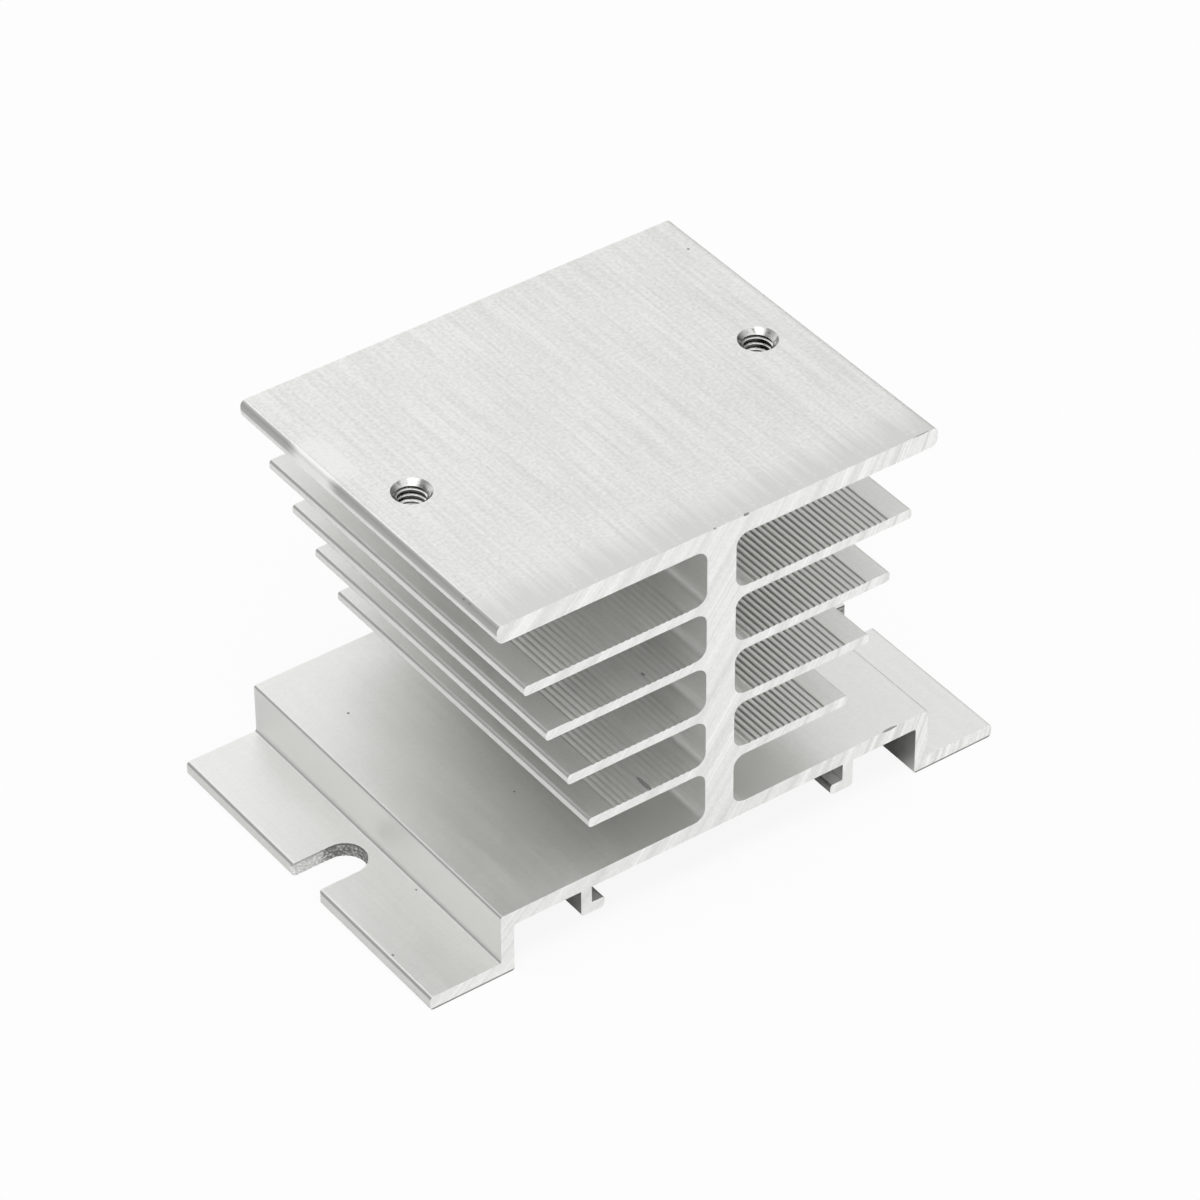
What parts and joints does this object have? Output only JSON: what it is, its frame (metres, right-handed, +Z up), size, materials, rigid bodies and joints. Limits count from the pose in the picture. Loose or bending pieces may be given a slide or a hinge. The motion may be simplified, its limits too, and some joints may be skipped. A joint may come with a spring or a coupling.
{
  "type": "solid state relay heat sink",
  "caption": "Finned aluminium extrusion that cools a panel relay: flat seat with tapped holes, web with stepped fins, slotted flanges and rail hooks.",
  "frame": {"origin": "on the floor under the flanges, in the middle of the footprint", "axes": "+X across the section from flange to flange, +Y along the extrusion, +Z up through the relay's seat"},
  "size_m": [0.08, 0.05, 0.05],
  "materials": {
    "mill_aluminium": "mill finish, sawn ends"
  },
  "bodies": {
    "root": {"heat_sink": "mill_aluminium"}
  },
  "joints": []
}
